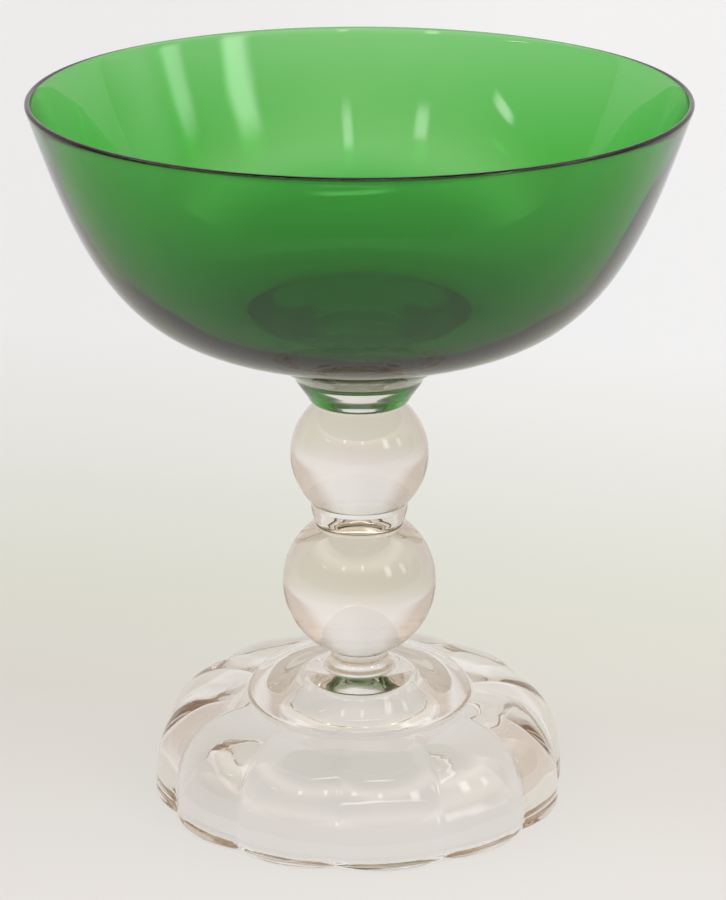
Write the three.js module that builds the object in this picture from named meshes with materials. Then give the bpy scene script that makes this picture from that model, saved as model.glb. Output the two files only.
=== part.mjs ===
// Footed sherbet glass: a green blown bowl on a clear stem of two balls,
// standing on a clear pressed foot with twelve lobes and a hollow underside.
// Millimetres, +Z up. The foot's flat rim stands on z = 0 and the stem runs up the Z axis.
import * as THREE from 'three';

// Bowl
const rimRadius = 51;            // outside of the lip
const bowlHeight = 38;           // from its seat to the outer edge of the lip
const lipWall = 0.9;             // glass at the lip
const floorWall = 4;             // glass at the bottom of the bowl
const bowlSeatRadius = 17.3;     // flat underside, fused to the pad
const bellyReach = 22;           // how far the flat bottom carries out before it turns up
const wallRun = 17.8;            // height over which the upper wall runs nearly straight
const wallLean = 0.333;          // outward lean of the upper wall, per unit of height

// Pad and collar under the bowl
const padHeight = 6.45;
const padFootLean = 0.65;        // how far the pad leans out as it rises from the collar
const padFootRise = 1.35;
const padLipLean = 1.4;          // how far it leans out as it reaches the bowl
const padLipRise = 3.1;
const collarTopRadius = 10.35;
const collarHeight = 4.31;
const collarTopLean = 0.35;      // how far the collar leans out as it reaches the pad
const collarTopRise = 1.05;
const collarLipRadius = 7.95;    // lower lip, over the upper ball
const collarLipRise = 0.39;
const collarLipLean = 0.35;      // how far the collar leans out as it rises from the lip
const collarLipClimb = 1.07;
const collarSeatRadius = 6.6;    // where the collar stands on the upper ball

// Stem
const upperBallRadius = 11.03;
const lowerBallRadius = 12.38;
const waistRadius = 7.77;        // where the ring between the balls meets them
const waistHeight = 4.33;
const waistSwell = 0.25;
const neckRadius = 4.7;          // narrowest, under the lower ball
const neckBaseRadius = 6.2;      // where the neck spreads onto the hub
const neckHeight = 2.95;
const neckHollow = 0.35;         // how far the neck's side is drawn in

// Foot, outside
const lobeCount = 12;
const valleyTurn = -6;           // azimuth of one valley, in degrees from -Y towards +X
const footRadius = 33.6;         // over the lobes, at the table
const lobeDepth = 1.4;           // how far the valleys lie inside the lobes
const lobeFade = 1.5;            // how fast the valleys fade towards the crease
const edgeHeight = 1;            // upright edge at the table
const skirtRise = 11.15;         // how far the skirt climbs before it turns in
const skirtReach = 10.6;         // how far its crown carries in towards the crease
const skirtCrown = 1.2;          // how far the crown is lifted over the crease
const creaseRadius = 18.2;       // round crease between the skirt and the hub
const creaseHeight = 16.4;
const hubRise = 4.5;             // from the crease to the neck's seat
const hubSteep = 2.1;            // how far the hub climbs out of the crease before it turns in
const hubLean = 0.7;             // how far it leans in over that climb
const hubReach = 8.8;            // how far its top runs flat around the neck

// Foot, hollow underside
const rimWidth = 4.3;            // flat ring that stands on the table
const roofWall = 5;              // glass over the hollow, at the crown of the skirt
const hubWall = 4.3;             // glass over the hollow, under the neck
const hubHollowWall = 9.3;       // from the crease in to the top of the hub's hollow
const hubHollowMouth = 2.2;      // from the crease in to where the hub's hollow starts
const hollowDip = 1.05;          // how far the middle of the hub's hollow hangs down
const ceilingLevel = 0.4;        // share of the hub's hollow that is level at its middle
const ceilingBend = 0.8;         // share at which it starts to turn up to its edge
const ceilingRise = 0.33;        // share of the dip that is made up after that
const funnelDrop = 0.75;         // share of the funnel's height that falls steeply
const roofLevel = 0.68;          // share of the skirt's hollow with a level roof
const roofDrop = 0.6;            // share of its height with an upright side

// Facets
const bowlSegments = 60;
const stemSegments = 36;
const lobeSegments = 6;
const bowlSteps = 12;
const lipSteps = 4;
const stemSteps = 5;
const ballSteps = 10;
const footSteps = 7;
const leastStep = 0.005;         // profile points closer than this are one point

// Heights of the seats, from the table up
const capHeight = (radius, seatRadius) => Math.sqrt(radius ** 2 - seatRadius ** 2);
const hubTop = creaseHeight + hubRise;
const neckTop = hubTop + neckHeight;
const lowerBallCentre = neckTop + capHeight(lowerBallRadius, neckRadius);
const lowerBallTop = lowerBallCentre + capHeight(lowerBallRadius, waistRadius);
const waistTop = lowerBallTop + waistHeight;
const upperBallCentre = waistTop + capHeight(upperBallRadius, waistRadius);
const upperBallTop = upperBallCentre + capHeight(upperBallRadius, collarSeatRadius);
const collarTop = upperBallTop + collarHeight;
const padTop = collarTop + padHeight;
const lipHeight = padTop + bowlHeight;

const greenGlass = () => new THREE.MeshStandardMaterial({ color: 0x1f7a33, roughness: 0.05, metalness: 0 });
const clearGlass = () => new THREE.MeshStandardMaterial({ color: 0xe2dad2, roughness: 0.05, metalness: 0 });

const point = (radius, height) => new THREE.Vector2(radius, height);

// Turns a profile of (radius, height) points about the Z axis.
function revolve(profile, segments) {
  const apart = profile.filter((p, i) => i === 0 || p.distanceTo(profile[i - 1]) > leastStep);
  return new THREE.LatheGeometry(apart, segments).rotateX(Math.PI / 2);
}

// A solid between two flat discs, joined by a side that is given from the bottom up.
function turnedSide(side) {
  return revolve([point(0, side[0].y), ...side, point(0, side.at(-1).y)], stemSegments);
}

// One whose side swells out of the straight line, or draws in.
// Handles set out by 4/3 of the swell make a cubic that bulges by the swell.
function turnedBlock(lowRadius, lowHeight, highRadius, highHeight, swell) {
  const low = point(lowRadius, lowHeight);
  const high = point(highRadius, highHeight);
  const run = high.clone().sub(low);
  const outward = point(run.y, -run.x).normalize().multiplyScalar(swell * 4 / 3);
  const lowHandle = low.clone().addScaledVector(run, 1 / 3).add(outward);
  const highHandle = low.clone().addScaledVector(run, 2 / 3).add(outward);
  return turnedSide(new THREE.CubicBezierCurve(low, lowHandle, highHandle, high).getPoints(stemSteps));
}

// The pad spreads from the collar to the bowl, flattest halfway up.
function pad() {
  const side = new THREE.CubicBezierCurve(
    point(collarTopRadius, collarTop),
    point(collarTopRadius + padFootLean, collarTop + padFootRise),
    point(bowlSeatRadius - padLipLean, padTop - padLipRise),
    point(bowlSeatRadius, padTop),
  );
  return turnedSide(side.getPoints(stemSteps));
}

// The collar stands on the ball, overhangs it with a lip, and widens to the pad.
function collar() {
  const lip = point(collarLipRadius, upperBallTop + collarLipRise);
  const side = new THREE.CubicBezierCurve(
    lip,
    point(lip.x + collarLipLean, lip.y + collarLipClimb),
    point(collarTopRadius - collarTopLean, collarTop - collarTopRise),
    point(collarTopRadius, collarTop),
  );
  return turnedSide([point(collarSeatRadius, upperBallTop), ...side.getPoints(stemSteps)]);
}

// A ball with a flat at each end, where its neighbours are fused to it.
function ball(radius, centre, lowSeatRadius, highSeatRadius) {
  const lowAngle = -Math.acos(lowSeatRadius / radius);
  const highAngle = Math.acos(highSeatRadius / radius);
  const side = new THREE.EllipseCurve(0, centre, radius, radius, lowAngle, highAngle).getPoints(ballSteps);
  const low = point(0, centre - capHeight(radius, lowSeatRadius));
  const high = point(0, centre + capHeight(radius, highSeatRadius));
  return revolve([low, ...side, high], stemSegments);
}

// The bowl's wall follows its outside, thinning from the floor to a round lip.
function bowl() {
  const outside = new THREE.CubicBezierCurve(
    point(bowlSeatRadius, padTop),
    point(bowlSeatRadius + bellyReach, padTop),
    point(rimRadius - wallLean * wallRun, lipHeight - wallRun),
    point(rimRadius, lipHeight),
  );
  const inward = (along) => {
    const tangent = outside.getTangent(along);
    return point(-tangent.y, tangent.x);
  };
  const wall = (along) => floorWall + (lipWall - floorWall) * Math.sqrt(along);
  const outer = outside.getPoints(bowlSteps);
  const inner = outer.map((p, i) => {
    const along = i / bowlSteps;
    return p.clone().addScaledVector(inward(along), wall(along));
  });
  const lipMiddle = outer.at(-1).clone().lerp(inner.at(-1), 0.5);
  const lip = [];
  for (let i = 1; i < lipSteps; i += 1) {
    const angle = Math.PI * i / lipSteps;
    const across = inward(1).multiplyScalar(-Math.cos(angle) * lipWall / 2);
    const over = outside.getTangent(1).multiplyScalar(Math.sin(angle) * lipWall / 2);
    lip.push(lipMiddle.clone().add(across).add(over));
  }
  const floor = point(0, padTop + floorWall);
  return revolve([point(0, padTop), ...outer, ...lip, ...inner.reverse(), floor], bowlSegments);
}

// The underside of the foot, from the middle of the hub's hollow out to the rim on the table.
function hollowProfile() {
  const top = point(creaseRadius - hubHollowWall, hubTop - hubWall);
  const middle = point(0, top.y - hollowDip);
  const mouth = point(creaseRadius - hubHollowMouth, creaseHeight + skirtCrown / 2 - roofWall);
  const rim = point(footRadius - rimWidth, 0);
  const funnelRadius = (top.x + mouth.x) / 2;
  const ceiling = new THREE.CubicBezierCurve(
    middle,
    point(top.x * ceilingLevel, middle.y),
    point(top.x * ceilingBend, top.y - hollowDip * ceilingRise),
    top,
  );
  const funnel = new THREE.CubicBezierCurve(
    top,
    point(funnelRadius, top.y - (top.y - mouth.y) * funnelDrop),
    point(funnelRadius, mouth.y),
    mouth,
  );
  const roof = new THREE.CubicBezierCurve(
    mouth,
    point(mouth.x + (rim.x - mouth.x) * roofLevel, mouth.y),
    point(rim.x, mouth.y * roofDrop),
    rim,
  );
  return [
    ...ceiling.getPoints(footSteps),
    ...funnel.getPoints(footSteps).slice(1),
    ...roof.getPoints(footSteps).slice(1),
  ];
}

// The foot is turned as one closed profile. Its skirt is then pressed into lobes:
// every skirt point moves in along its own normal, most in the valleys and not at all on the crests.
function foot() {
  const skirt = new THREE.CubicBezierCurve(
    point(footRadius, edgeHeight),
    point(footRadius, edgeHeight + skirtRise),
    point(creaseRadius + skirtReach, creaseHeight + skirtCrown),
    point(creaseRadius, creaseHeight),
  );
  const hub = new THREE.CubicBezierCurve(
    point(creaseRadius, creaseHeight),
    point(creaseRadius - hubLean, creaseHeight + hubSteep),
    point(neckBaseRadius + hubReach, hubTop),
    point(neckBaseRadius, hubTop),
  );
  const hollow = hollowProfile();
  const skirtPoints = skirt.getPoints(footSteps);
  const hubPoints = hub.getPoints(footSteps).slice(1);
  const profile = [...hollow, point(footRadius, 0), ...skirtPoints, ...hubPoints, point(0, hubTop)];

  const falls = profile.map(() => point(0, 0));
  falls[hollow.length].set(-lobeDepth, 0);
  skirtPoints.forEach((p, i) => {
    const along = i / footSteps;
    const tangent = skirt.getTangent(along);
    const depth = lobeDepth * ((p.x - creaseRadius) / (footRadius - creaseRadius)) ** lobeFade;
    falls[hollow.length + 1 + i].set(-tangent.y, tangent.x).multiplyScalar(depth);
  });

  const segments = lobeCount * lobeSegments;
  const turn = THREE.MathUtils.degToRad(valleyTurn);
  const geometry = new THREE.LatheGeometry(profile, segments, turn);
  const position = geometry.getAttribute('position');
  for (let i = 0; i < position.count; i += 1) {
    const step = Math.floor(i / profile.length);
    const azimuth = turn + step * 2 * Math.PI / segments;
    const acrossLobe = 2 * (step % lobeSegments) / lobeSegments - 1;
    const fall = falls[i % profile.length].clone().multiplyScalar(acrossLobe ** 2);
    position.setX(i, position.getX(i) + fall.x * Math.sin(azimuth));
    position.setY(i, position.getY(i) + fall.y);
    position.setZ(i, position.getZ(i) + fall.x * Math.cos(azimuth));
  }
  return geometry.rotateX(Math.PI / 2);
}

const glass = new THREE.Group();
glass.name = 'sherbet_glass';

function addPiece(name, geometry, material) {
  const mesh = new THREE.Mesh(geometry, material);
  mesh.name = name;
  glass.add(mesh);
}

const upperBall = ball(upperBallRadius, upperBallCentre, waistRadius, collarSeatRadius);
const waist = turnedBlock(waistRadius, lowerBallTop, waistRadius, waistTop, waistSwell);
const lowerBall = ball(lowerBallRadius, lowerBallCentre, neckRadius, waistRadius);
const neck = turnedBlock(neckBaseRadius, hubTop, neckRadius, neckTop, -neckHollow);

addPiece('bowl', bowl(), greenGlass());
addPiece('bowl_pad', pad(), clearGlass());
addPiece('collar', collar(), clearGlass());
addPiece('upper_ball', upperBall, clearGlass());
addPiece('waist_ring', waist, clearGlass());
addPiece('lower_ball', lowerBall, clearGlass());
addPiece('neck', neck, clearGlass());
addPiece('foot', foot(), clearGlass());

export default glass;
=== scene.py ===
import math

import bpy
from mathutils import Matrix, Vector
from mathutils.geometry import interpolate_bezier


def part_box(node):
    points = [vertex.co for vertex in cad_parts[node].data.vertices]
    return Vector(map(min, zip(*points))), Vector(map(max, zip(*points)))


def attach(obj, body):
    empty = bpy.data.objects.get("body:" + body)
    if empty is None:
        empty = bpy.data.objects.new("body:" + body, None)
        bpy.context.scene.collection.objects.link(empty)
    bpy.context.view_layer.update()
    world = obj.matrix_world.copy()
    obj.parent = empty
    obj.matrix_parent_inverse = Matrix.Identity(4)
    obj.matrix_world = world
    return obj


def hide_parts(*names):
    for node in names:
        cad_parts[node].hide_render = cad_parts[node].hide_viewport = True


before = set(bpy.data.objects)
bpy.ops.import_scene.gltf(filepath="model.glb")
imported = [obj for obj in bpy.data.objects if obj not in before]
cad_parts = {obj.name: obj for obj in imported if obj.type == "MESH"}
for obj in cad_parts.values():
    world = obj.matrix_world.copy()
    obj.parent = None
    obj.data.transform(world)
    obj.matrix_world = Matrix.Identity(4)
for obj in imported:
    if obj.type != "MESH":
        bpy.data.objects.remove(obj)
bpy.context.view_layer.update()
scene = bpy.context.scene
mm = 0.001
tiny = 1e-9                  # keeps a run of no length from dividing by zero
weld = 0.002                 # mm, points closer than this become one
print("frame loaded:", len(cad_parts), "pieces")


def levelOf(node, top=False):
    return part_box(node)[1 if top else 0].z / mm    # seat heights come from the frame, in mm


# Sections are lists of (radius, height) in mm, drawn from the axis and back to it

def bezier(start, startHandle, endHandle, end, steps=24):
    knots = [Vector((radius, 0, height)) for radius, height in (start, startHandle, endHandle, end)]
    return [(p.x, p.z) for p in interpolate_bezier(*knots, steps)]


def arc(centreHeight, radius, fromAngle, toAngle, steps=48):
    angles = [fromAngle + (toAngle - fromAngle) * i / steps for i in range(steps + 1)]
    return [(radius * math.cos(a), centreHeight + radius * math.sin(a)) for a in angles]


def evenSteps(outline, step):
    lengths = [0]
    for (r0, z0), (r1, z1) in zip(outline, outline[1:]):
        lengths.append(lengths[-1] + math.hypot(r1 - r0, z1 - z0))
    count = round(lengths[-1] / step)
    walked, i = [], 0
    for n in range(count + 1):
        goal = lengths[-1] * n / count
        while i < len(outline) - 2 and lengths[i + 1] < goal:
            i += 1
        share = (goal - lengths[i]) / max(lengths[i + 1] - lengths[i], tiny)
        (r0, z0), (r1, z1) = outline[i], outline[i + 1]
        walked.append((r0 + (r1 - r0) * share, z0 + (z1 - z0) * share))
    return walked


# A plane merged to one point is the pencil: extruding it draws the section, and spin turns it
def turnGlass(name, outline, segments, azimuth=0):
    bpy.ops.object.select_all(action="DESELECT")
    bpy.ops.mesh.primitive_plane_add(size=mm)
    piece = bpy.context.object
    piece.name = piece.data.name = name
    bpy.ops.object.mode_set(mode="EDIT")
    bpy.ops.mesh.merge(type="CENTER")
    across = Vector((math.sin(azimuth), -math.cos(azimuth), 0))
    pencil = Vector()
    for i, (radius, height) in enumerate(outline):
        tip = (across * radius + Vector((0, 0, height))) * mm
        if i == 0:
            bpy.ops.transform.translate(value=tip - pencil)
        else:
            bpy.ops.mesh.extrude_vertices_move(TRANSFORM_OT_translate={"value": tip - pencil})
        pencil = tip
    bpy.ops.mesh.select_all(action="SELECT")
    bpy.ops.mesh.spin(steps=segments, angle=math.tau, center=(0, 0, 0), axis=(0, 0, 1), use_auto_merge=True)
    bpy.ops.mesh.select_all(action="SELECT")
    bpy.ops.mesh.remove_doubles(threshold=weld * mm)
    bpy.ops.mesh.normals_make_consistent(inside=False)
    bpy.ops.object.mode_set(mode="OBJECT")
    bpy.ops.object.shade_smooth()
    return piece


# Materials

def linear(hexColour):
    channels = [int(hexColour[i:i + 2], 16) / 255 for i in (0, 2, 4)]
    return [c / 12.92 if c <= 0.04045 else ((c + 0.055) / 1.055) ** 2.4 for c in channels] + [1]


def addNode(tree, kind, settings=(), inputs=(), links=()):
    node = tree.nodes.new(kind)
    for key, value in dict(settings).items():
        setattr(node, key, value)
    for key, value in dict(inputs).items():
        node.inputs[key].default_value = value
    for key, source in dict(links).items():
        tree.links.new(source, node.inputs[key])
    return node


def newMaterial(name):
    material = bpy.data.materials.new(name)
    material.use_nodes = True
    material.node_tree.nodes.clear()
    return material, material.node_tree


glassSkin = {
    "waveDetail": 1,
    "smearDetail": 3,
    "smearSpan": (0.35, 0.75),    # the part of the noise that runs from bright polish to dull
}
blownGreen = {
    "colour": "66e459",      # light that the glass lets through
    "density": 1800,         # per metre, how fast it takes the rest
    "ior": 1.52,
    "waveSize": 16,          # mm, slow waves left by blowing
    "waveHeight": 0.14,      # mm
    "smearSize": 9,          # mm, patches of fire polish
    "roughness": (0.0, 0.03),
}
pressedClear = {
    "colour": "e9decf",
    "density": 27,
    "ior": 1.52,
    "waveSize": 7,           # mm, chill waves from the mould
    "waveHeight": 0.1,
    "smearSize": 5,
    "roughness": (0.0, 0.02),
}


# Soda glass: sharp reflections, colour that deepens with thickness, and a skin that is never quite even
def sodaGlass(name, look, skin):
    material, tree = newMaterial(name)
    place = addNode(tree, "ShaderNodeTexCoord").outputs["Object"]
    wave = addNode(tree, "ShaderNodeTexNoise", {},
                   {"Scale": 1 / (look["waveSize"] * mm), "Detail": skin["waveDetail"]},
                   {"Vector": place})
    smear = addNode(tree, "ShaderNodeTexNoise", {},
                    {"Scale": 1 / (look["smearSize"] * mm), "Detail": skin["smearDetail"]},
                    {"Vector": place})
    bright, dull = skin["smearSpan"]
    low, high = look["roughness"]
    polish = addNode(tree, "ShaderNodeMapRange", {},
                     {"From Min": bright, "From Max": dull, "To Min": low, "To Max": high},
                     {"Value": smear.outputs["Fac"]})
    bump = addNode(tree, "ShaderNodeBump", {}, {"Strength": 1.0, "Distance": look["waveHeight"] * mm},
                   {"Height": wave.outputs["Fac"]})
    surface = addNode(tree, "ShaderNodeBsdfPrincipled", {},
                      {"Base Color": (1, 1, 1, 1), "IOR": look["ior"], "Transmission Weight": 1.0},
                      {"Roughness": polish.outputs["Result"], "Normal": bump.outputs["Normal"]})
    depth = addNode(tree, "ShaderNodeVolumeAbsorption", {},
                    {"Color": linear(look["colour"]), "Density": look["density"]})
    addNode(tree, "ShaderNodeOutputMaterial", {}, {},
            {"Surface": surface.outputs["BSDF"], "Volume": depth.outputs["Volume"]})
    return material


greenGlass = sodaGlass("blown_green_soda_glass", blownGreen, glassSkin)
clearGlass = sodaGlass("pressed_clear_soda_glass", pressedClear, glassSkin)
print("glass mixed")


# Bowl

bowlShape = {
    "rimRadius": 51,
    "wallRun": 17.8,         # height of the nearly straight upper wall
    "wallLean": 0.333,
    "seatRadius": 17.3,      # flat underside on the pad
    "bellyReach": 22,
    "lipWall": 0.9,
    "lipRise": 0.632,        # height of the round lip over its outer edge, as a share of the wall there
    "floorWall": 4,
    "lipRoundness": 9,       # points round the lip
    "curvePoints": 160,      # points of the wall's curve before they are spaced evenly
    "step": 0.8,             # mm between points of the section
    "segments": 240,
}


def bowlSection(s):
    seat, lip = levelOf("bowl"), levelOf("bowl", True) - s["lipWall"] * s["lipRise"]
    steps = s["curvePoints"]
    outer = bezier((s["seatRadius"], seat), (s["seatRadius"] + s["bellyReach"], seat),
                   (s["rimRadius"] - s["wallLean"] * s["wallRun"], lip - s["wallRun"]),
                   (s["rimRadius"], lip), steps)
    inner = []
    for i, (radius, height) in enumerate(outer):
        (r0, z0), (r1, z1) = outer[max(i - 1, 0)], outer[min(i + 1, steps - 1)]
        run = math.hypot(r1 - r0, z1 - z0)
        wall = s["floorWall"] + (s["lipWall"] - s["floorWall"]) * math.sqrt(i / (steps - 1))
        inner.append((radius - (z1 - z0) / run * wall, height + (r1 - r0) / run * wall))
    (outR, outZ), (inR, inZ) = outer[-1], inner[-1]
    midR, midZ = (outR + inR) / 2, (outZ + inZ) / 2
    lipEdge = []
    for i in range(1, s["lipRoundness"]):
        turn = math.pi * i / s["lipRoundness"]
        acrossR, acrossZ = (outR - midR) * math.cos(turn), (outZ - midZ) * math.cos(turn)
        overR, overZ = -(outZ - midZ) * math.sin(turn), (outR - midR) * math.sin(turn)
        lipEdge.append((midR + acrossR + overR, midZ + acrossZ + overZ))
    floor = seat + s["floorWall"]
    wallOut = evenSteps([(0, seat)] + outer, s["step"])
    wallIn = evenSteps(inner[::-1] + [(0, floor)], s["step"])
    return wallOut + lipEdge + wallIn


bowl = turnGlass("green_bowl", bowlSection(bowlShape), bowlShape["segments"])
bowl.data.materials.append(greenGlass)
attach(bowl, "root")
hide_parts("bowl")
print("bowl turned")


# Stem and foot, one run of clear glass because the hot joints leave no seam inside

stemShape = {
    "padBury": 0.2,          # how far the pad runs up into the green glass
    "padRadius": 17.3,
    "padLip": (1.4, 3.1),    # lean and rise of the pad as it reaches the bowl
    "padFoot": (0.65, 1.35),  # and as it leaves the collar
    "collarTop": 10.35,
    "collarShoulder": (0.35, 1.05),
    "collarLip": 7.95,       # lower lip, over the upper ball
    "collarFoot": (0.35, 1.07),
    "collarUndercut": 0.39,
    "collarSeat": 6.6,
    "upperBall": 11.03,
    "lowerBall": 12.38,
    "waist": 7.77,           # ring between the balls, at its top
    "waistShoulder": (-0.13, 1.2),
    "waistFoot": 6.9,
    "waistFlare": (0.4, 0.37),
    "neck": 4.7,
    "neckLip": (0.3, 1.2),   # lean and rise of the neck as it reaches the ball
    "neckBase": 6.2,
    "neckRise": 0.4,         # how far it still rises where it leaves the hub
    "step": 0.55,
    "segments": 288,
}
footShape = {
    "lobes": 12,
    "valleyTurn": -6,        # degrees from -Y
    "radius": 33.6,
    "lobeDepth": 1.4,
    "lobeFade": 1.5,         # how fast the valleys fade towards the crease
    "edge": 1,
    "skirtRise": 11.15,
    "skirtReach": 10.6,
    "skirtCrown": 1.2,
    "crease": 18.2,
    "creaseHeight": 16.4,
    "hubSteep": 2.1,
    "hubLean": 0.7,
    "hubReach": 8.8,
    "rimWidth": 4.3,
    "roof": 12,              # height of the hollow under the skirt
    "mouth": 16,             # radius where the hollow under the hub starts
    "hubHollow": 8.9,        # radius of its top
    "hubHollowTop": 16.6,
    "hollowDip": 1.0,
    "ceilingLevel": 0.4,     # shares of the hub's hollow, from its middle
    "ceilingBend": 0.8,
    "ceilingRise": 0.33,
    "funnelDrop": 0.75,      # share of the funnel's depth at the pull on its upper end
    "roofReach": 0.68,       # shares of the hollow's width and height at the pulls on its outer curve
    "innerRise": 0.6,
    "roofMargin": 1,         # mm by which a point clears the hollow's roof or wall to count as outside
    "rimMargin": 0.4,
    "edgeMargin": 0.05,      # mm by which it lies below the skirt's edge to count as the standing rim
}


def ahead(point, run):
    return point[0] + run[0], point[1] + run[1]


def behind(point, run):
    return point[0] - run[0], point[1] - run[1]


def stemSection(s, f):
    hubTop, neckTop = levelOf("neck"), levelOf("lower_ball")
    waistTop = levelOf("waist_ring", True)
    collarLow, padLow, padTop = levelOf("collar"), levelOf("bowl_pad"), levelOf("bowl")
    lowerCentre = neckTop + math.sqrt(s["lowerBall"] ** 2 - s["neck"] ** 2)
    upperCentre = waistTop + math.sqrt(s["upperBall"] ** 2 - s["waist"] ** 2)
    inside = f["radius"] - f["rimWidth"]
    funnel = (f["hubHollow"] + f["mouth"]) / 2
    hollowTop, hollowMiddle = f["hubHollowTop"], f["hubHollowTop"] - f["hollowDip"]
    hollow = bezier((0, hollowMiddle), (f["hubHollow"] * f["ceilingLevel"], hollowMiddle),
                    (f["hubHollow"] * f["ceilingBend"], hollowTop - f["hollowDip"] * f["ceilingRise"]),
                    (f["hubHollow"], hollowTop))
    hollow += bezier((f["hubHollow"], hollowTop),
                     (funnel, hollowTop - (hollowTop - f["roof"]) * f["funnelDrop"]),
                     (funnel, f["roof"]), (f["mouth"], f["roof"]))
    hollow += bezier((f["mouth"], f["roof"]),
                     (f["mouth"] + (inside - f["mouth"]) * f["roofReach"], f["roof"]),
                     (inside, f["roof"] * f["innerRise"]), (inside, 0))
    skirt = bezier((f["radius"], f["edge"]), (f["radius"], f["edge"] + f["skirtRise"]),
                   (f["crease"] + f["skirtReach"], f["creaseHeight"] + f["skirtCrown"]),
                   (f["crease"], f["creaseHeight"]))
    hub = bezier((f["crease"], f["creaseHeight"]),
                 (f["crease"] - f["hubLean"], f["creaseHeight"] + f["hubSteep"]),
                 (s["neckBase"] + f["hubReach"], hubTop), (s["neckBase"], hubTop))
    neck = bezier((s["neckBase"], hubTop), (s["neck"], hubTop + s["neckRise"]),
                  behind((s["neck"], neckTop), s["neckLip"]), (s["neck"], neckTop))
    lower = arc(lowerCentre, s["lowerBall"], -math.acos(s["neck"] / s["lowerBall"]),
                math.acos(s["waistFoot"] / s["lowerBall"]))
    ringLow = (s["waistFoot"], lowerCentre + math.sqrt(s["lowerBall"] ** 2 - s["waistFoot"] ** 2))
    waist = bezier(ringLow, ahead(ringLow, s["waistFlare"]),
                   behind((s["waist"], waistTop), s["waistShoulder"]), (s["waist"], waistTop))
    upper = arc(upperCentre, s["upperBall"], -math.acos(s["waist"] / s["upperBall"]),
                math.acos(s["collarSeat"] / s["upperBall"]))
    lip = (s["collarLip"], collarLow + s["collarUndercut"])
    collar = bezier(lip, ahead(lip, s["collarFoot"]), behind((s["collarTop"], padLow), s["collarShoulder"]),
                    (s["collarTop"], padLow))
    pad = bezier((s["collarTop"], padLow), ahead((s["collarTop"], padLow), s["padFoot"]),
                 behind((s["padRadius"], padTop), s["padLip"]), (s["padRadius"], padTop))
    top = padTop + s["padBury"]
    outside = skirt + hub + neck + lower + waist + upper + collar + pad
    return hollow + [(f["radius"], 0)] + outside + [(s["padRadius"], top), (0, top)]


# The mould presses valleys into the skirt: a vertex group holds how deep, and Displace pushes them in
def pressLobes(piece, f):
    turn, pitch = math.radians(f["valleyTurn"]), math.tau / f["lobes"]
    group = piece.vertex_groups.new(name="valleys")
    rim = {}
    for vertex in piece.data.vertices:
        x, y, z = vertex.co / mm
        radius = math.hypot(x, y)
        overRoof = z > f["roof"] + f["roofMargin"]
        onRim = radius > f["radius"] - f["rimWidth"] + f["rimMargin"]
        if radius <= f["crease"] or not (overRoof or onRim):
            continue
        across = ((math.atan2(x, -y) - turn) / pitch) % 1 * 2 - 1
        if z < f["edge"] - f["edgeMargin"]:    # points at one place across a lobe move together
            rim.setdefault(round(abs(across), 2), []).append(vertex.index)
            continue
        share = (radius - f["crease"]) / (f["radius"] - f["crease"])
        group.add([vertex.index], across ** 2 * min(1, share) ** f["lobeFade"], "REPLACE")
    bpy.ops.object.select_all(action="DESELECT")
    piece.select_set(True)
    bpy.context.view_layer.objects.active = piece
    press = piece.modifiers.new("press", "DISPLACE")
    press.vertex_group = "valleys"
    press.mid_level = 0
    press.strength = -f["lobeDepth"] * mm
    bpy.ops.object.modifier_apply(modifier="press")
    bpy.ops.object.mode_set(mode="EDIT")
    bpy.ops.mesh.select_all(action="DESELECT")
    bpy.ops.object.mode_set(mode="OBJECT")
    for across, indices in rim.items():    # the standing edge is drawn in level, so the foot stays flat
        for index in indices:
            piece.data.vertices[index].select = True
        bpy.ops.object.mode_set(mode="EDIT")
        shrink = 1 - f["lobeDepth"] * across ** 2 / f["radius"]
        bpy.ops.transform.resize(value=(shrink, shrink, 1), center_override=(0, 0, 0))
        bpy.ops.mesh.select_all(action="DESELECT")
        bpy.ops.object.mode_set(mode="OBJECT")
    piece.vertex_groups.clear()


stemOutline = evenSteps(stemSection(stemShape, footShape), stemShape["step"])
stem = turnGlass("clear_stem_and_foot", stemOutline, stemShape["segments"],
                 math.radians(footShape["valleyTurn"]))
pressLobes(stem, footShape)
stem.data.materials.append(clearGlass)
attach(stem, "root")
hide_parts("bowl_pad", "collar", "upper_ball", "waist_ring", "lower_ball", "neck", "foot")
print("stem and foot pressed")


# Floor and backdrop in one sweep

sweepShape = {
    "width": 4,              # metres
    "front": -1.6,
    "back": 0.75,
    "height": 2.2,
    "bend": 0.35,
    "bendSegments": 24,
    "under": 0.0002,         # gap below the foot, so that the two faces do not fight
    "glow": 0.77,            # share of the colour that needs no lamp
    "slant": 0.15,           # the left side lies a little deeper in shade
    "lean": (0.08, 0.93, 1),    # metres either side of the glass, brightness at the left and at the right
    "shades": [(-0.06, "f2f0ee"), (0.03, "e6e4de"),    # metres along the floor; the deeper stops near the glass are a painted shadow of the glass
               (0.08, "e8e9df"), (0.24, "f6f8fa")],
    "sideColour": "ded6ce",  # the paper turns warmer to the sides
    "sides": (0.17, 0.5),
}


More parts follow.
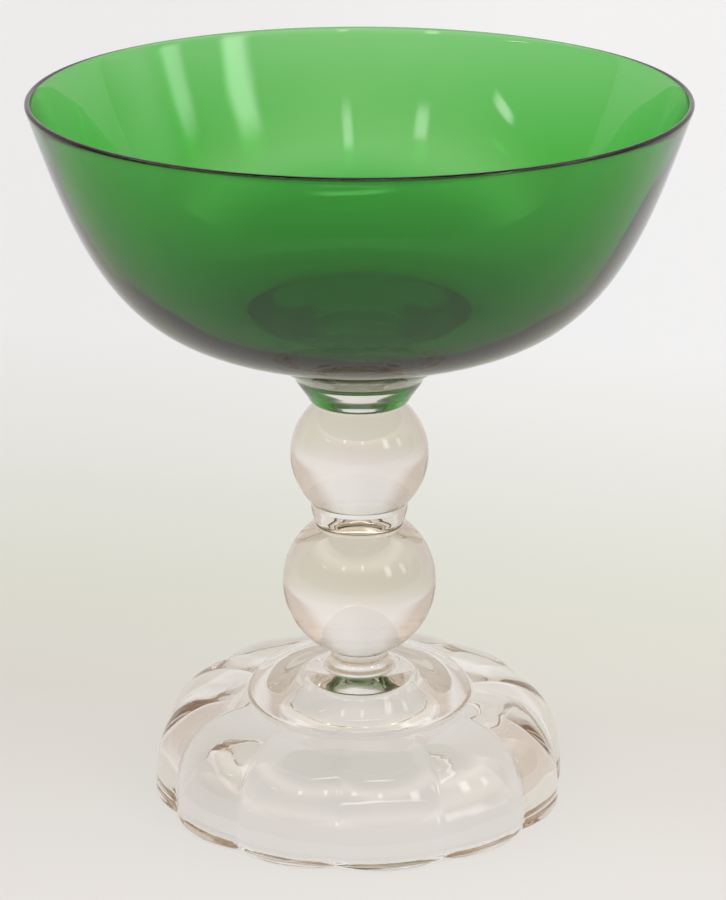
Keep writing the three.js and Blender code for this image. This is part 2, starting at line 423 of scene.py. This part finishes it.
def paperSweep(s):
    bpy.ops.object.select_all(action="DESELECT")
    bpy.ops.mesh.primitive_plane_add(size=1)
    sweep = bpy.context.object
    sweep.name = "paper_sweep"
    bpy.ops.object.mode_set(mode="EDIT")
    bpy.ops.transform.resize(value=(s["width"], s["back"] - s["front"], 1))
    bpy.ops.transform.translate(value=(0, (s["back"] + s["front"]) / 2, -s["under"]))
    bpy.ops.mesh.select_all(action="DESELECT")
    bpy.ops.object.mode_set(mode="OBJECT")
    for edge in sweep.data.edges:
        ends = [sweep.data.vertices[v].co for v in edge.vertices]
        edge.select = all(abs(end.y - s["back"]) < mm for end in ends)
    bpy.ops.object.mode_set(mode="EDIT")
    bpy.ops.mesh.select_mode(type="EDGE")
    bpy.ops.mesh.extrude_region_move(TRANSFORM_OT_translate={"value": (0, 0, s["height"])})
    bpy.ops.mesh.select_all(action="DESELECT")
    bpy.ops.object.mode_set(mode="OBJECT")
    for edge in sweep.data.edges:
        ends = [sweep.data.vertices[v].co for v in edge.vertices]
        edge.select = all(abs(end.y - s["back"]) < mm and end.z < mm for end in ends)
    bpy.ops.object.mode_set(mode="EDIT")
    bpy.ops.mesh.bevel(offset=s["bend"], segments=s["bendSegments"])
    bpy.ops.object.mode_set(mode="OBJECT")
    bpy.ops.object.shade_smooth()
    return sweep


# Matt paper, a warm white that turns cooler towards the back, with a painted shadow of the glass where the
# paper lies around and behind it
def mattPaper(s):
    material, tree = newMaterial("matt_paper")
    place = addNode(tree, "ShaderNodeTexCoord").outputs["Object"]
    along = addNode(tree, "ShaderNodeVectorMath", {"operation": "DOT_PRODUCT"},
                    {1: (s["slant"], 1, 0)}, {0: place})
    near, far = s["shades"][0][0], s["shades"][-1][0]
    share = addNode(tree, "ShaderNodeMapRange", {}, {"From Min": near, "From Max": far},
                    {"Value": along.outputs["Value"]})
    # the ramp lays down the paper's colour together with the painted shadow of the glass
    ramp = addNode(tree, "ShaderNodeValToRGB", {}, {}, {"Fac": share.outputs["Result"]})
    stops = ramp.color_ramp.elements
    for distance, shade in s["shades"][1:-1]:
        stops.new((distance - near) / (far - near)).color = linear(shade)
    stops[0].color, stops[len(stops) - 1].color = linear(s["shades"][0][1]), linear(s["shades"][-1][1])
    aside = addNode(tree, "ShaderNodeSeparateXYZ", {}, {}, {"Vector": place})
    offset = addNode(tree, "ShaderNodeMath", {"operation": "ABSOLUTE"}, {}, {0: aside.outputs["X"]})
    fall = addNode(tree, "ShaderNodeMapRange", {"interpolation_type": "SMOOTHSTEP"},
                   {"From Min": s["sides"][0], "From Max": s["sides"][1]}, {"Value": offset.outputs[0]})
    beside = addNode(tree, "ShaderNodeMixRGB", {}, {"Color2": linear(s["sideColour"])},
                     {"Fac": fall.outputs["Result"], "Color1": ramp.outputs["Color"]})
    paint = beside.outputs["Color"]
    matt = addNode(tree, "ShaderNodeBsdfDiffuse", {}, {}, {"Color": paint})
    reach, left, right = s["lean"]
    lean = addNode(tree, "ShaderNodeMapRange", {"interpolation_type": "SMOOTHSTEP"},
                   {"From Min": -reach, "From Max": reach, "To Min": left, "To Max": right},
                   {"Value": aside.outputs["X"]})
    glow = addNode(tree, "ShaderNodeEmission", {}, {},
                   {"Color": paint, "Strength": lean.outputs["Result"]})
    path = addNode(tree, "ShaderNodeLightPath")    # camera, mirror and glass all see the same paper
    seen = addNode(tree, "ShaderNodeMath", {"operation": "MAXIMUM"}, {},
                   {0: path.outputs["Is Camera Ray"], 1: path.outputs["Is Glossy Ray"]})
    through = addNode(tree, "ShaderNodeMath", {"operation": "MAXIMUM"}, {},
                      {0: seen.outputs[0], 1: path.outputs["Is Transmission Ray"]})
    lit = addNode(tree, "ShaderNodeMath", {"operation": "MULTIPLY"},
                  {1: s["glow"]}, {0: through.outputs[0]})
    mixed = addNode(tree, "ShaderNodeMixShader", {}, {},
                    {"Fac": lit.outputs[0], 1: matt.outputs[0], 2: glow.outputs[0]})
    addNode(tree, "ShaderNodeOutputMaterial", {}, {}, {"Surface": mixed.outputs[0]})
    return material


sweep = paperSweep(sweepShape)
sweep.data.materials.append(mattPaper(sweepShape))
print("paper laid")


# Light: a warm room, dim at eye level, pale above the walls and dim again at the zenith, and soft boxes

roomLight = {
    "wall": "f0c8a6",
    "ceiling": "fff5ec",
    "level": 0.33,           # strength at eye level
    "bright": 2.7,           # strength above the walls
    "rise": (0.38, 0.7),     # sines of the elevations between which it grows
    "zenith": 0.15,          # strength overhead
    "fall": (0.62, 0.92),    # sines between which it drops to that
}
softCloth = {
    "distance": 1.6,         # metres from the glass
    "aim": 0.08,             # height that the boxes face
    "middle": 0.5,           # share of the cloth's width from its edge to its middle
    "fade": 0.15,            # where it starts to fade, from its middle
}
softBoxes = {                # azimuth from -Y towards +X and elevation in degrees, sizes in metres, watts
    "windowRight": {"azimuth": 77, "elevation": 20, "width": 0.3, "height": 0.5, "power": 1.4},
    "windowFrontRight": {"azimuth": 50, "elevation": 26, "width": 0.4, "height": 0.6, "power": 3.4},
    "panelRight": {"azimuth": 100, "elevation": 22, "width": 1.0, "height": 0.5, "power": 1.0},
    "lampLeft": {"azimuth": -64, "elevation": 27, "width": 0.36, "height": 0.05, "power": 0.3},
    "panelLeft": {"azimuth": -29, "elevation": 35, "width": 0.2, "height": 0.26, "power": 0.7},
    "panelMiddle": {"azimuth": 6, "elevation": 38, "width": 0.16, "height": 0.36, "power": 0.7},
    "stripOverhead": {"azimuth": 8, "elevation": 66, "width": 1.0, "height": 0.12, "power": 2.0},
}


def lightRoom(r):
    world = bpy.data.worlds.new("room")
    scene.world = world
    world.use_nodes = True
    tree = world.node_tree
    tree.nodes.clear()
    facing = addNode(tree, "ShaderNodeTexCoord").outputs["Generated"]
    upward = addNode(tree, "ShaderNodeSeparateXYZ", {}, {}, {"Vector": facing})
    height = addNode(tree, "ShaderNodeMapRange", {"interpolation_type": "SMOOTHSTEP"},
                     {"From Min": r["rise"][0], "From Max": r["rise"][1]}, {"Value": upward.outputs["Z"]})
    risen = addNode(tree, "ShaderNodeMapRange", {}, {"To Min": r["level"], "To Max": r["bright"]},
                    {"Value": height.outputs["Result"]})
    fallen = addNode(tree, "ShaderNodeMapRange", {"interpolation_type": "SMOOTHSTEP"},
                     {"From Min": r["fall"][0], "From Max": r["fall"][1],
                      "To Max": r["bright"] - r["zenith"]}, {"Value": upward.outputs["Z"]})
    glow = addNode(tree, "ShaderNodeMath", {"operation": "SUBTRACT"}, {},
                   {0: risen.outputs["Result"], 1: fallen.outputs["Result"]})
    tint = addNode(tree, "ShaderNodeMixRGB", {},
                   {"Color1": linear(r["wall"]), "Color2": linear(r["ceiling"])},
                   {"Fac": height.outputs["Result"]})
    sky = addNode(tree, "ShaderNodeBackground", {}, {},
                  {"Color": tint.outputs["Color"], "Strength": glow.outputs[0]})
    addNode(tree, "ShaderNodeOutputWorld", {}, {}, {"Surface": sky.outputs[0]})


def hangSoftBox(name, b, cloth):
    azimuth, elevation = math.radians(b["azimuth"]), math.radians(b["elevation"])
    away = Vector((math.sin(azimuth) * math.cos(elevation), -math.cos(azimuth) * math.cos(elevation),
                   math.sin(elevation)))
    bpy.ops.object.light_add(type="AREA", location=Vector((0, 0, cloth["aim"])) + away * cloth["distance"])
    box = bpy.context.object
    box.name = name
    box.rotation_euler = away.to_track_quat("Z", "Y").to_euler()
    box.data.shape = "RECTANGLE"
    box.data.size, box.data.size_y = b["width"], b["height"]
    box.data.energy = b["power"]
    box.data.use_nodes = True    # the cloth glows in the middle and fades to its edges
    tree = box.data.node_tree
    tree.nodes.clear()
    across = addNode(tree, "ShaderNodeNewGeometry").outputs["Parametric"]
    half = cloth["middle"]
    centred = addNode(tree, "ShaderNodeVectorMath", {"operation": "SUBTRACT"},
                      {1: (half, half, 0)}, {0: across})
    apart = addNode(tree, "ShaderNodeVectorMath", {"operation": "ABSOLUTE"}, {},
                    {0: centred.outputs["Vector"]})
    sides = addNode(tree, "ShaderNodeSeparateXYZ", {}, {}, {"Vector": apart.outputs["Vector"]})
    fades = []
    for axis in "XY":
        fades.append(addNode(tree, "ShaderNodeMapRange", {"interpolation_type": "SMOOTHSTEP"},
                             {"From Min": half, "From Max": cloth["fade"]}, {"Value": sides.outputs[axis]}))
    bright = addNode(tree, "ShaderNodeMath", {"operation": "MULTIPLY"}, {},
                     {0: fades[0].outputs["Result"], 1: fades[1].outputs["Result"]})
    lamp = addNode(tree, "ShaderNodeEmission", {}, {}, {"Strength": bright.outputs[0]})
    addNode(tree, "ShaderNodeOutputLight", {}, {}, {"Surface": lamp.outputs[0]})


lightRoom(roomLight)
for boxName, box in softBoxes.items():
    hangSoftBox(boxName, box, softCloth)
print("lights hung:", len(softBoxes))


# Camera

view = {
    "back": 0.456618,        # metres from the glass's axis
    "height": 0.220356,
    "pitch": 19.6175,        # degrees down
    "lens": 121.83,          # mm
    "sensor": 36,            # mm
    "shift": 0.00397,
    "nearest": 0.01,         # metres
}
lightBounces = 64            # enough for light that runs round inside the thick foot
bpy.ops.object.camera_add(location=(0, -view["back"], view["height"]),
                          rotation=(math.radians(90 - view["pitch"]), 0, 0))
camera = bpy.context.object
camera.data.sensor_width = view["sensor"]
camera.data.lens = view["lens"]
camera.data.shift_x = view["shift"]
camera.data.clip_start = view["nearest"]
scene.camera = camera
scene.view_settings.view_transform = "Standard"
scene.cycles.max_bounces = lightBounces
scene.cycles.transmission_bounces = lightBounces
scene.cycles.glossy_bounces = lightBounces
